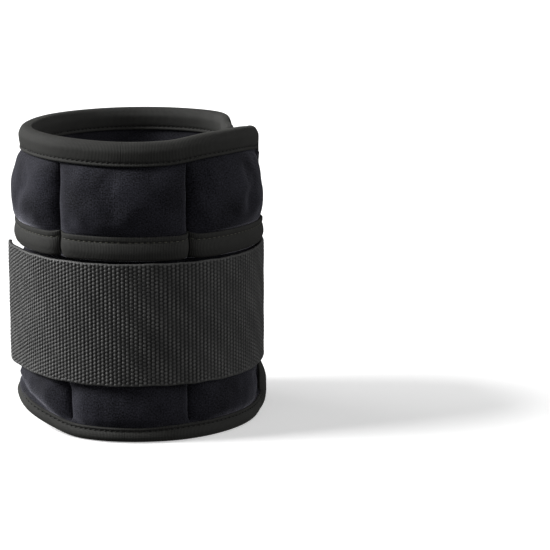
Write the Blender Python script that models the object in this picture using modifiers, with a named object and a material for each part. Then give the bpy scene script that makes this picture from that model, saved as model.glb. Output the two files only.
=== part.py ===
"""Ankle cuff weight, closed round the ankle: five weighted pockets, an under-lap tongue and one strap.

Frame: metres, +Z up. The cuff stands on its lower rim, the ankle's hollow runs along Z through the
origin, and the front pocket faces -Y. Azimuths are in degrees, from -Y towards +X. The wrap and then
the strap run on round the cuff towards falling azimuths: right, front, left, rear_left, rear_right,
then the tongue inside and the strap outside. Each pocket is a straight-sided strip, so that all five
lie side by side when the wrap is opened flat.
"""
import math

import bmesh
import bpy
from mathutils import Vector

MM = 0.001

# Overall sizes
HEIGHT = 123 * MM
PITCH = 63.0                    # degrees of the closed wrap that one pocket takes
FRONT = -8.5                    # azimuth of the front pocket's middle
PIVOT_R = 40 * MM               # seam line: the lining's inner face, where the wrap bends
STRAP_R = 52.6 * MM             # strap's outer face, where the strap bends

# Materials' thicknesses and fits
NEOPRENE = 1.8 * MM
TAPE = 0.8 * MM                 # binding tape folded round every edge
WEBBING = 1.6 * MM
HOOK_TAPE = 0.5 * MM
LOOP_TAPE = 0.4 * MM
SLEEVE = 0.4 * MM
GAP = 0.3 * MM
RIM_GAP = 0.45 * MM             # between the layers inside a binding

# One pocket's strip, half as wide as the chord between its two seam lines
HALF_STRIP = PIVOT_R * math.sin(math.radians(PITCH / 2)) - 0.6 * MM
STRIP_COLUMNS = 6

# Rims: the binding's outer radius at the bottom and the top, and its section
RIM_BOTTOM_R = 50.3 * MM
RIM_TOP_R = 49.2 * MM
RIM_THICK = 2 * NEOPRENE + 2 * TAPE + 3 * RIM_GAP
RIM_DEPTH = 10 * MM
RIM_CHAMFER = 1.3 * MM
EDGE_SET_IN = 1.4 * MM          # from a binding's outside to the neoprene's edge within it
FLAP_R = 51.9 * MM              # flap binding's outer face
FLAP_BOTTOM = 73.6 * MM
FLAP_THICK = NEOPRENE + 2 * TAPE + 2 * GAP

# Free end of the wrap, past the right pocket
END_REACH = 32.5 * MM
END_CORNER = 9.5 * MM
END_DEPTH = 7.5 * MM
END_INSET = 2 * MM              # from the end binding's outside to the layers' edges within it
END_STUB = 3.2 * MM             # how far a layer goes past the pocket where it stops short
END_SHARES = [0.12, 0.4, 0.6, 0.8, 1.0]     # columns from the pocket's side to the wrap's end

# Profiles up the wrap in millimetres: height, then outer-face radius at mid pocket and at its seams
LOWER_PANEL = [(1.4, 49.0, 49.0), (4.5, 49.0, 49.0), (10.5, 48.9, 48.9), (17, 50.6, 46.2),
               (22, 49.8, 44.2), (26, 49.3, 43.9), (48, 49.3, 43.9), (69, 49.3, 44.3),
               (73.2, 47.3, 47.3), (84, 47.1, 47.1)]
UPPER_PANEL = [(75.0, 50.8, 50.8), (84, 50.8, 50.8), (86, 50.9, 49.2), (91, 52.1, 46.5), (97, 52.7, 44.6),
               (104, 52.2, 44.9), (109, 50.5, 46.6), (112.5, 47.9, 47.9), (118, 47.9, 47.9),
               (121.6, 47.9, 47.9)]
LINING = [(1.4, 46.7, 46.7), (4.5, 46.7, 46.7), (10.5, 46.6, 46.6), (19, 41.8, 41.8),
          (104, 41.8, 41.8), (112.5, 45.7, 45.7), (118, 45.7, 45.7), (121.6, 45.7, 45.7)]

# Weight sleeve: height and front-face radius in millimetres, with a flat back against the lining
SLEEVE_FRONT = [(20, 45.4), (24, 46.8), (46, 46.9), (67, 46.8), (72, 45.0), (86, 45.0),
                (92, 48.0), (98, 49.4), (103, 48.0)]
SLEEVE_BACK_R = 42.5 * MM
SLEEVE_HALF = 14.8 * MM
FILL_TOP = 98 * MM

# Strap: hinge lines over the wrap's end and seams, and what is sewn to it
STRAP_BOTTOM = 23 * MM
STRAP_TOP = 73 * MM
STRAP_LINES = [-229.0, -274.0, -337.0, -400.0, -446.0, -457.0]
STRAP_ROOT = -194.0             # where the strap's sewn end starts on the rear right pocket
STRAP_ROOT_R = 51.8 * MM
STRAP_TIP_R = 53.7 * MM
HOOK_R = 50.75 * MM
LOOP_R = 50.0 * MM
LOOP_HALF = 14.5 * MM

# Tongue: the unpadded end that lies inside the closure
TONGUE_MIDDLE = -261.0
TONGUE_HALF = 19.6 * MM
TONGUE_HINGE_R = 41.8 * MM
TONGUE_R = 38.3 * MM
TONGUE_EDGE = (2.4 * MM, 120.6 * MM)
TONGUE_DEPTH = 8 * MM

POCKETS = ["right", "front", "left", "rear_left", "rear_right"]
MIDDLES = {name: FRONT + PITCH * (1 - index) for index, name in enumerate(POCKETS)}
SEAMS = {"right": FRONT + PITCH / 2, "left": FRONT - PITCH / 2,
         "rear_left": FRONT - PITCH * 1.5, "rear_right": FRONT - PITCH * 2.5,
         "tongue": FRONT - PITCH * 3.5}

MATERIALS = {
    "neoprene": ((0.010, 0.010, 0.014), 0.85, 0.0),
    "lining": ((0.014, 0.014, 0.018), 0.9, 0.0),
    "binding": ((0.030, 0.030, 0.028), 0.8, 0.0),
    "webbing": ((0.055, 0.055, 0.053), 0.75, 0.0),
    "loop_tape": ((0.012, 0.012, 0.012), 0.95, 0.0),
    "hook_tape": ((0.02, 0.02, 0.02), 0.6, 0.0),
    "sleeve": ((0.08, 0.08, 0.085), 0.7, 0.0),
    "shot": ((0.35, 0.35, 0.36), 0.45, 1.0),
}


# Scene helpers

def clear_scene():
    for obj in list(bpy.data.objects):
        bpy.data.objects.remove(obj, do_unlink=True)


def make_material(name):
    colour, roughness, metallic = MATERIALS[name]
    material = bpy.data.materials.new(name)
    material.use_nodes = True
    shader = material.node_tree.nodes["Principled BSDF"]
    shader.inputs["Base Color"].default_value = (*colour, 1.0)
    shader.inputs["Roughness"].default_value = roughness
    shader.inputs["Metallic"].default_value = metallic
    return material


def polar(azimuth, radius, height=0.0):
    angle = math.radians(azimuth)
    return Vector((radius * math.sin(angle), -radius * math.cos(angle), height))


def strip_point(across, radius, height):
    """A point on a cylinder of this radius, the distance `across` to the side of its middle line."""
    return Vector((across, -math.sqrt(radius * radius - across * across), height))


def make_bodies(collection):
    """One empty on the hinge line of each moving body."""
    hinges = {name: polar(azimuth, PIVOT_R) for name, azimuth in SEAMS.items()}
    for index, azimuth in enumerate(STRAP_LINES[:-2]):
        hinges[f"strap_{index + 1}"] = polar(azimuth, STRAP_R)
    hinges["strap_tip"] = polar(STRAP_LINES[-2], STRAP_R)
    hinges["front"] = Vector((0, 0, 0))
    bodies = {}
    for name, place in hinges.items():
        empty = bpy.data.objects.new(f"hinge_of_{name}", None)
        empty.location = place
        collection.objects.link(empty)
        bodies[name] = empty
    return bodies


class Cuff:
    """Collects the pieces: where they go, what they hang on and what they are made of."""

    def __init__(self):
        self.collection = bpy.data.collections.new("ankle_cuff_weight")
        bpy.context.scene.collection.children.link(self.collection)
        self.bodies = make_bodies(self.collection)
        self.materials = {name: make_material(name) for name in MATERIALS}

    def add(self, name, mesh_data, body, material, azimuth=0.0):
        """Put a mesh made round azimuth 0 at its own azimuth, hanging on its body's hinge."""
        mesh = bpy.data.meshes.new(name)
        mesh_data.to_mesh(mesh)
        mesh_data.free()
        mesh.materials.append(self.materials[material])
        piece = bpy.data.objects.new(name, mesh)
        hinge = self.bodies[body]
        piece.parent = hinge
        piece.location = -hinge.location
        piece.rotation_euler.z = math.radians(azimuth)
        self.collection.objects.link(piece)
        mesh.shade_smooth()
        mesh.set_sharp_from_angle(angle=math.radians(35))
        return piece


def thicken(piece, thickness):
    """Give an open sheet its thickness, inwards from the outer face that was modelled."""
    solidify = piece.modifiers.new("thickness", "SOLIDIFY")
    solidify.thickness = thickness
    solidify.offset = -1.0


def grid_mesh(columns, rows, rule):
    """A grid moved into shape: rule(side from -1 to 1, row number) gives each point."""
    mesh = bmesh.new()
    bmesh.ops.create_grid(mesh, x_segments=columns, y_segments=rows, size=1.0)
    for vert in mesh.verts:
        row = round((vert.co.y + 1) / 2 * rows)
        vert.co = rule(vert.co.x, row)
    return mesh


# Pocket layers

def swell(side):
    """How full a pocket is from one seam (-1) to the other (1)."""
    return 1 - min(abs(side), 1.0) ** 6


def end_reach(height):
    """How far the wrap's free end goes past the right pocket's middle, with its corners rounded."""
    corner = END_CORNER - END_INSET
    from_edge = min(height, HEIGHT - height) - END_INSET
    lack = max(corner - from_edge, 0.0)
    return END_REACH - END_CORNER + math.sqrt(max(corner ** 2 - lack ** 2, 0.0))


def spread(side):
    """Columns closer together near the seams, where the surface turns."""
    return math.sin(side * math.pi / 2)


def layer(cuff, pocket, kind, profile, material):
    """One neoprene layer of a pocket; the right one runs on into the wrap's free end."""
    columns = STRIP_COLUMNS + (len(END_SHARES) if pocket == "right" else 0)

    def rule(side, row):
        height_mm, middle_mm, seam_mm = profile[row]
        height = height_mm * MM
        column = round((side + 1) / 2 * columns)
        if column <= STRIP_COLUMNS:
            across = HALF_STRIP * spread(2 * column / STRIP_COLUMNS - 1)
            radius = seam_mm + (middle_mm - seam_mm) * swell(across / HALF_STRIP)
            return strip_point(across, radius * MM, height)
        share = END_SHARES[column - STRIP_COLUMNS - 1]
        if not full_width(kind, height_mm):
            next_to_full = height_mm < 74 if kind == "lower_panel" else height_mm > 85
            radius = edge_radius(kind, height) if next_to_full else seam_mm * MM
            return strip_point(HALF_STRIP + END_STUB * share, radius, height)
        across = HALF_STRIP + (end_reach(height) - HALF_STRIP) * share
        still_low = kind == "lining" and column == STRIP_COLUMNS + 1
        radius = seam_mm * MM if still_low else edge_radius(kind, height)
        return strip_point(across, radius, height)

    mesh = grid_mesh(columns, len(profile) - 1, rule)
    piece = cuff.add(f"{pocket}_{kind}", mesh, pocket, material, MIDDLES[pocket])
    thicken(piece, NEOPRENE)


def full_width(kind, height_mm):
    """Whether a layer reaches the end binding at this height; behind the flap only the lining does."""
    if kind == "lower_panel":
        return height_mm < 70
    return kind == "lining" or height_mm > 88


def edge_radius(kind, height):
    """Outer-face radius of a layer where it lies flat in the wrap's end binding."""
    panel = rim_radius(0.0, height) - TAPE - RIM_GAP
    return panel - NEOPRENE - RIM_GAP if kind == "lining" else panel


# Bindings

def tape_section(thickness, depth, chamfer=RIM_CHAMFER):
    """A folded tape: (distance in from the edge, depth from the outer face) from outside to inside."""
    return [(-depth, 0.0), (-chamfer, 0.0), (0.0, chamfer),
            (0.0, thickness - chamfer), (-chamfer, thickness), (-depth, thickness)]


def binding(cuff, name, body, path, section, outer_radius, azimuth):
    """Tape folded over an edge. `path` holds (across, height, edge's outward direction) along it."""
    def rule(side, row):
        place = path[round((side + 1) / 2 * (len(path) - 1))]
        across, height, (out_across, out_up) = place
        inwards, depth = section[row]
        up = height + inwards * out_up
        return strip_point(across + inwards * out_across, outer_radius(across, up) - depth, up)

    mesh = grid_mesh(len(path) - 1, len(section) - 1, rule)
    piece = cuff.add(name, mesh, body, "binding", azimuth)
    thicken(piece, TAPE)


def straight_path(start, end, height, up):
    middle, half = (start + end) / 2, (end - start) / 2
    sides = [2 * step / STRIP_COLUMNS - 1 for step in range(STRIP_COLUMNS + 1)]
    return [(middle + half * spread(side), height, (0.0, up)) for side in sides]


def rim_radius(across, height):
    return RIM_BOTTOM_R + (RIM_TOP_R - RIM_BOTTOM_R) * height / HEIGHT


def end_path():
    """Down the wrap's free end, round both of its corners."""
    corner_steps = 5
    path = []
    for step in range(corner_steps + 1):
        angle = math.radians(90 - 90 * step / corner_steps)
        path.append((angle, HEIGHT - END_CORNER))
    for step in range(corner_steps + 1):
        angle = math.radians(-90 * step / corner_steps)
        path.append((angle, END_CORNER))
    centre = END_REACH - END_CORNER
    return [(centre + END_CORNER * math.cos(angle), height + END_CORNER * math.sin(angle),
             (math.cos(angle), math.sin(angle))) for angle, height in path]


def pocket_bindings(cuff, pocket):
    section = tape_section(RIM_THICK, RIM_DEPTH)
    flap = tape_section(FLAP_THICK, RIM_DEPTH)
    azimuth = MIDDLES[pocket]
    top = straight_path(-HALF_STRIP, HALF_STRIP, HEIGHT, 1.0)
    bottom = straight_path(HALF_STRIP, -HALF_STRIP, 0.0, -1.0)
    flap_half = HALF_STRIP - 0.7 * MM
    flap_edge = straight_path(flap_half, -flap_half, FLAP_BOTTOM, -1.0)
    binding(cuff, f"{pocket}_top_binding", pocket, top, section, rim_radius, azimuth)
    binding(cuff, f"{pocket}_bottom_binding", pocket, bottom, section, rim_radius, azimuth)
    binding(cuff, f"{pocket}_flap_binding", pocket, flap_edge, flap,
            lambda across, height: FLAP_R, azimuth)


# Weights

def sleeve_loop(front_r, height, inset, points=6):
    """Section of a weight sleeve, or of what fills it at an inset: its curved front, then its back."""
    sides = [-1 + 2 * step / (points - 1) for step in range(points)]
    half = SLEEVE_HALF - inset
    depth = front_r - SLEEVE_BACK_R
    front = [(half * side, SLEEVE_BACK_R + depth * (1 - 0.32 * side ** 4) - inset) for side in sides]
    back = [(half * side, SLEEVE_BACK_R + inset) for side in reversed(sides)]
    return [strip_point(across, radius, height) for across, radius in front + back]


def ring_mesh(loops, capped_top):
    """A tube through closed loops of points, with a bottom and, if asked, a top."""
    mesh = bmesh.new()
    rings = [[mesh.verts.new(point) for point in loop] for loop in loops]
    count = len(rings[0])
    for low, high in zip(rings, rings[1:]):
        for index in range(count):
            following = (index + 1) % count
            mesh.faces.new((low[index], low[following], high[following], high[index]))
    mesh.faces.new(list(reversed(rings[0])))
    if capped_top:
        mesh.faces.new(rings[-1])
    return mesh


def weight(cuff, pocket):
    """The sewn sleeve, left open at its mouth, and the steel shot in it."""
    inset = SLEEVE + 1.3 * GAP
    levels = [(height_mm * MM, front_mm * MM) for height_mm, front_mm in SLEEVE_FRONT]
    sleeve_loops = [sleeve_loop(front, height, 0.0) for height, front in levels]
    shot_loops = [sleeve_loop(front, height, inset) for height, front in levels[1:]
                  if height <= FILL_TOP]
    sleeve = cuff.add(f"{pocket}_weight_sleeve", ring_mesh(sleeve_loops, False), pocket, "sleeve",
                      MIDDLES[pocket])
    thicken(sleeve, SLEEVE)
    cuff.add(f"{pocket}_weight_shot", ring_mesh(shot_loops, True), pocket, "shot", MIDDLES[pocket])


def make_pocket(cuff, pocket):
    layer(cuff, pocket, "lining", LINING, "lining")
    layer(cuff, pocket, "lower_panel", LOWER_PANEL, "neoprene")
    layer(cuff, pocket, "upper_panel", UPPER_PANEL, "neoprene")
    weight(cuff, pocket)
    pocket_bindings(cuff, pocket)


# Wrap end, tongue and strap

def wrap_end(cuff):
    section = tape_section(RIM_THICK, END_DEPTH)
    binding(cuff, "right_end_binding", "right", end_path(), section, rim_radius, MIDDLES["right"])


def smooth_step(value):
    value = min(max(value, 0.0), 1.0)
    return value * value * (3 - 2 * value)


def tongue_radius(across, height=0.0):
    """The tongue leaves the hinge level with the lining and dips inside the wrap's free end."""
    share = smooth_step((TONGUE_HALF - across) / (1.15 * TONGUE_HALF))
    return TONGUE_HINGE_R + (TONGUE_R - TONGUE_HINGE_R) * share


def make_tongue(cuff):
    low, high = TONGUE_EDGE

    def rule(side, row):
        across = side * TONGUE_HALF
        return strip_point(across, tongue_radius(across), (low, high)[row])

    piece = cuff.add("tongue", grid_mesh(10, 1, rule), "tongue", "neoprene", TONGUE_MIDDLE)
    thicken(piece, NEOPRENE)
    tongue_thick = NEOPRENE + 2 * TAPE + 2 * GAP
    section = tape_section(tongue_thick, TONGUE_DEPTH, chamfer=0.9 * MM)
    reach = EDGE_SET_IN
    cover = TAPE + GAP

    def outside(across, height):
        return tongue_radius(across) + cover

    edges = {
        "top": straight_path(-TONGUE_HALF + TONGUE_DEPTH, TONGUE_HALF, high + reach, 1.0),
        "bottom": straight_path(TONGUE_HALF, -TONGUE_HALF + TONGUE_DEPTH, low - reach, -1.0),
        "end": [(-TONGUE_HALF - reach, height, (-1.0, 0.0)) for height in (low - reach, high + reach)],
    }
    for edge, path in edges.items():
        binding(cuff, f"tongue_{edge}_binding", "tongue", path, section, outside, TONGUE_MIDDLE)


def arc_mesh(start, end, spans, low, high, radius):
    """A band round the cuff from one azimuth up to a higher one; radius(azimuth) is its outer face."""
    def rule(side, row):
        azimuth = start + (end - start) * (side + 1) / 2
        return polar(azimuth, radius(azimuth), (low, high)[row])

    return grid_mesh(spans, 1, rule)


def strap_radius(azimuth):
    if azimuth > STRAP_LINES[0]:
        share = smooth_step((azimuth - STRAP_LINES[0]) / (STRAP_ROOT - STRAP_LINES[0]))
        return STRAP_R + (STRAP_ROOT_R - STRAP_R) * share
    past_tip = (STRAP_LINES[-2] - azimuth) / (STRAP_LINES[-2] - STRAP_LINES[-1])
    return STRAP_R + (STRAP_TIP_R - STRAP_R) * max(past_tip, 0.0)


def band(cuff, name, body, span, low, high, radius, thickness, material):
    """A flat tape that follows the cuff, cut just short of both ends of its span."""
    start, end = span
    trim = math.degrees(GAP / 2 / STRAP_R)
    mesh = arc_mesh(start + trim, end - trim, max(2, round((end - start) / 9)), low, high, radius)
    piece = cuff.add(name, mesh, body, material)
    thicken(piece, thickness)


def make_strap(cuff):
    lines = [STRAP_ROOT] + STRAP_LINES
    names = ["strap_root", "strap_1", "strap_2", "strap_3", "strap_4", "strap_tip"]
    for index, name in enumerate(names):
        body = "rear_right" if name == "strap_root" else name
        band(cuff, name, body, (lines[index + 1], lines[index]), STRAP_BOTTOM, STRAP_TOP,
             strap_radius, WEBBING, "webbing")
    for name, body, first, last in (("hook_tape_front", "strap_3", -345, -393),
                                    ("hook_tape_left", "strap_4", -408, -442)):
        band(cuff, name, body, (last, first), STRAP_BOTTOM + 3 * MM, STRAP_TOP - 3 * MM,
             lambda azimuth: HOOK_R, HOOK_TAPE, "hook_tape")


def make_loop_tapes(cuff):
    """Loop tape sewn to the three pockets that the strap closes over."""
    half_angle = math.degrees(math.asin(LOOP_HALF / LOOP_R))
    for pocket in POCKETS[:3]:
        middle = MIDDLES[pocket]
        band(cuff, f"{pocket}_loop_tape", pocket, (middle - half_angle, middle + half_angle),
             STRAP_BOTTOM + 4 * MM, STRAP_TOP - 5 * MM, lambda azimuth: LOOP_R, LOOP_TAPE,
             "loop_tape")


def main():
    clear_scene()
    cuff = Cuff()
    for pocket in POCKETS:
        make_pocket(cuff, pocket)
    wrap_end(cuff)
    make_tongue(cuff)
    make_strap(cuff)
    make_loop_tapes(cuff)
    bpy.context.view_layer.update()


main()
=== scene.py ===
"""Looks of the ankle cuff weight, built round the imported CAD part.

Lengths are in millimetres until a mesh is made, and azimuths in degrees from -Y towards +X. The wrap's
free end is at +95, and the wrap runs on towards falling azimuths: right, front, left, rear_left and
rear_right pockets, then the tongue, with the strap outside it.
"""

import functools
import math

import bpy
import numpy as np
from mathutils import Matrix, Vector


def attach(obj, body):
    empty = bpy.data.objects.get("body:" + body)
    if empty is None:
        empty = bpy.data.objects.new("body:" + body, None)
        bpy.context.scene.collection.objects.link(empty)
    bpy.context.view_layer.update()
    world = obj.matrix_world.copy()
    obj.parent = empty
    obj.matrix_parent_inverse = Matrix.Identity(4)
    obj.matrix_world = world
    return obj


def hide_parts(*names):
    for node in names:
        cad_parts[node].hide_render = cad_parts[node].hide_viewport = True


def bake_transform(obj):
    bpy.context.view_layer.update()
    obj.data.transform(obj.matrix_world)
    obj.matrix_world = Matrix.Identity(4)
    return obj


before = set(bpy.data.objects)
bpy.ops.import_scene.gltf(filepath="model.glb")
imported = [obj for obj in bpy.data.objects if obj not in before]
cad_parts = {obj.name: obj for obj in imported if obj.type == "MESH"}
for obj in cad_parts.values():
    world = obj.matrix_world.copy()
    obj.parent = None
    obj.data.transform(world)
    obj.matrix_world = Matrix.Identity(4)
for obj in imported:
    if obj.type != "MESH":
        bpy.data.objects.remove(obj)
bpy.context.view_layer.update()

MM = 0.001
HEIGHT = 123.0
PIVOT_R = 40.0
MIDDLES = {"right": 54.5, "front": -8.5, "left": -71.5, "rear_left": -134.5, "rear_right": -197.5}
SEAMS = [23.0, -40.0, -103.0, -166.0]
TONGUE_LINE = -229.0
WRAP_END = 95.0
PAD_END = 84.0                  # where the right pocket's padding stops short of the wrap's end
DEGREE = 0.873                  # millimetres in a degree at the wrap's outside

RIM_TOP_R = 49.2
RIM_BOTTOM_R = 50.3
RIM_THICK = 6.5
RIM_DEPTH = 9.6
FLAP_R = 51.9
FLAP_BOTTOM = 74.9
FLAP_THICK = 4.0
FLAP_DEPTH = 10.0
NEOPRENE = 1.8
TAPE = 0.8
CORNER = 9.5

STRAP_BOTTOM = 23.0
STRAP_TOP = 73.0
STRAP_R = 52.6
STRAP_LINES = [-229.0, -274.0, -337.0, -400.0, -446.0]
STRAP_ROOT = -194.0
STRAP_END = -451.5
STRAP_DEGREE = 0.918
WEBBING = 1.6

# The ring's lengths: name, first and last azimuth, the two bodies, and the seam between them
SPANS = [
    ("right_seam", WRAP_END, MIDDLES["front"], ("front", "right"), 23.0),
    ("left_seam", MIDDLES["front"], MIDDLES["left"], ("front", "left"), -40.0),
    ("rear_left_seam", MIDDLES["left"], MIDDLES["rear_left"], ("left", "rear_left"), -103.0),
    ("rear_seam", MIDDLES["rear_left"], TONGUE_LINE, ("rear_left", "rear_right"), -166.0),
]
STANDS_FOR = {"right_seam": ["right"], "left_seam": ["front", "left"], "rear_left_seam": ["rear_left"],
              "rear_seam": ["rear_right"]}


# Numbers

def polar(azimuth, radius, height):
    angle = np.radians(azimuth)
    return np.stack(np.broadcast_arrays(radius * np.sin(angle), -radius * np.cos(angle), height), -1)


def step(value):
    """0 before 0, 1 after 1, smooth between."""
    value = np.clip(value, 0.0, 1.0) if isinstance(value, np.ndarray) else min(max(value, 0.0), 1.0)
    return value * value * (3 - 2 * value)


def mix(low, high, share):
    return low + (high - low) * share


def smooth_path(controls, per_span=4):
    """Catmull-Rom points through the controls."""
    points = np.asarray(controls, float)
    before = 2 * points[0] - points[1]
    after = 2 * points[-1] - points[-2]
    padded = np.vstack([before, points, after])
    share = np.linspace(0, 1, per_span, endpoint=False)[:, None]
    out = []
    for index in range(len(points) - 1):
        a, b, c, d = padded[index:index + 4]
        out.append(0.5 * (2 * b + (c - a) * share + (2 * a - 5 * b + 4 * c - d) * share ** 2
                          + (3 * b - a - 3 * c + d) * share ** 3))
    out.append(points[-1:])
    return np.vstack(out)


@functools.cache
def ripple_waves(seed):
    rng = np.random.default_rng(seed)
    return [(int(rng.integers(2, 11)), rng.uniform(-0.16, 0.16), rng.uniform(0, 6.28)) for _ in range(7)]


def ripple(azimuth, height, seed, fine=1.0):
    """A smooth, repeatable unevenness between about -1 and 1."""
    angle = math.radians(azimuth)
    return sum(math.sin(angle * turns * fine + height * slope * fine + start)
               for turns, slope, start in ripple_waves(seed)) / 3.2


# Meshes

def add_mesh(name, verts_mm, faces, uv, material):
    mesh = bpy.data.meshes.new(name)
    mesh.from_pydata((np.asarray(verts_mm) * MM).tolist(), [], faces)
    layer = mesh.uv_layers.new(name="UVMap")
    layer.data.foreach_set("uv", (np.asarray(uv) * MM).astype(np.float32).ravel())
    mesh.materials.append(material)
    mesh.polygons.foreach_set("use_smooth", [True] * len(mesh.polygons))
    obj = bpy.data.objects.new(name, mesh)
    bpy.context.scene.collection.objects.link(obj)
    return obj


def sweep(name, stations, loop, material, scale=DEGREE, capped=True):
    """A closed section carried along the stations: loop(station) gives its points.
    Normals come from the surface itself, so that lengths cut from one surface shade as one."""
    stations = np.asarray(stations, float)
    points = np.array([loop(s) for s in stations])
    reach = 0.05
    along = np.array([loop(s + reach) for s in stations]) - np.array([loop(s - reach) for s in stations])
    across = np.roll(points, -1, 1) - np.roll(points, 1, 1)
    normals = np.cross(along, across)
    count, around = points.shape[:2]
    i, j = np.meshgrid(np.arange(count - 1), np.arange(around), indexing="ij")
    following = (j + 1) % around
    quads = np.stack([i * around + j, (i + 1) * around + j, (i + 1) * around + following,
                      i * around + following], -1).reshape(-1, 4)
    flat = points.reshape(-1, 3)
    middle = flat.mean(0)
    a, b, c, d = (flat[quads[:, k]] - middle for k in range(4))
    volume = np.einsum("ij,ij->i", a, np.cross(b, c)).sum() + np.einsum("ij,ij->i", a, np.cross(c, d)).sum()
    if volume < 0:
        quads = quads[:, ::-1]
    face_way = np.cross(flat[quads[:, 1]] - flat[quads[:, 0]], flat[quads[:, 2]] - flat[quads[:, 0]])
    vertex_way = normals.reshape(-1, 3)
    if np.einsum("ij,ij->i", face_way, vertex_way[quads[:, 0]]).sum() < 0:
        vertex_way = -vertex_way
    lengths = np.linalg.norm(np.roll(points, -1, 1) - points, axis=2).mean(0)
    v_start = np.concatenate([[0], np.cumsum(lengths)])
    u = (stations - stations[0]) * scale
    corner_u = {0: u[i], 1: u[i + 1], 2: u[i + 1], 3: u[i]}
    corner_v = {0: v_start[j], 1: v_start[j], 2: v_start[j + 1], 3: v_start[j + 1]}
    uv = np.stack([np.stack([corner_u[k], corner_v[k]], -1).reshape(-1, 2) for k in range(4)], 1)
    if volume < 0:
        uv = uv[:, ::-1]
    faces = quads.tolist()
    uv = uv.reshape(-1, 2)
    if capped:
        first, last = list(range(around)), list(range((count - 1) * around, count * around))
        ends = [first[::-1], last] if volume < 0 else [first, last[::-1]]
        faces += ends
        uv = np.vstack([uv, np.zeros((2 * around, 2))])
    obj = add_mesh(name, flat, faces, uv, material)
    loops = np.zeros(len(obj.data.loops), int)
    obj.data.loops.foreach_get("vertex_index", loops)
    ways = vertex_way[loops]
    if capped:
        for k, polygon in enumerate(list(obj.data.polygons)[-2:]):
            ways[polygon.loop_start:polygon.loop_start + polygon.loop_total] = polygon.normal
    ways /= np.maximum(np.linalg.norm(ways, axis=1), 1e-12)[:, None]
    obj.data.normals_split_custom_set(ways.tolist())
    return obj


def dashes(name, runs, material, radius=0.29):
    """Thread: each run is a short row of (point, outward normal), sunk at both ends."""
    verts, faces, sides = [], [], 6
    for points, outward in runs:
        points, outward = np.asarray(points), np.asarray(outward)
        count = len(points)
        share = np.linspace(0, 1, count)
        lift = 0.30 * np.sin(np.pi * share) ** 0.6 - 0.16
        thick = radius * (0.55 + 0.45 * np.sin(np.pi * share) ** 0.5)
        tangent = np.gradient(points, axis=0)
        tangent /= np.linalg.norm(tangent, axis=1)[:, None]
        aside = np.cross(outward, tangent)
        base = len(verts)
        for k in range(count):
            for s in range(sides):
                angle = 2 * math.pi * s / sides
                verts.append(points[k] + outward[k] * (lift[k] + thick[k] * math.sin(angle))
                             + aside[k] * thick[k] * math.cos(angle))
        for k in range(count - 1):
            for s in range(sides):
                n = (s + 1) % sides
                faces.append([base + k * sides + s, base + k * sides + n,
                              base + (k + 1) * sides + n, base + (k + 1) * sides + s])
        faces.append([base + s for s in reversed(range(sides))])
        faces.append([base + (count - 1) * sides + s for s in range(sides)])
    uv = np.zeros((sum(len(f) for f in faces), 2))
    return add_mesh(name, verts, faces, uv, material)


def stitch_runs(first, last, point, pitch=2.3, length=1.35, scale=DEGREE):
    """Dashes from one station to another; point(station) gives (point, outward normal)."""
    way = 1.0 if last > first else -1.0
    count = int(abs(last - first) * scale / pitch)
    runs = []
    for k in range(count):
        start = first + way * (k * pitch + 0.5 * (pitch - length)) / scale
        places = [point(start + way * length / scale * share) for share in (0, 0.25, 0.5, 0.75, 1.0)]
        runs.append(([p for p, _ in places], [n for _, n in places]))
    return runs


def stations_between(first, last, close_to, coarse=1.1, fine=0.28, reach=4.0):
    """Azimuths from first to last, closer together near the given ones."""
    low, high = min(first, last), max(first, last)
    out = [low]
    while out[-1] < high:
        near = min([abs(out[-1] - c) for c in close_to] + [99.0])
        out.append(out[-1] + mix(fine, coarse, float(step(near / reach))))
    out = np.array(out)
    out = low + (out - low) * (high - low) / (out[-1] - low)
    return out if last > first else out[::-1]


def bend_across(obj, span, pivot=PIVOT_R):
    """Bake a ring length's transform into its mesh."""
    _, _, _, (body_a, body_b), seam = span
    along = polar(seam + 90, 1.0, 0.0)
    if body_b != "right":
        along = -along
    centre = polar(seam, pivot, 48.0)
    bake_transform(obj)


# Materials

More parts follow.
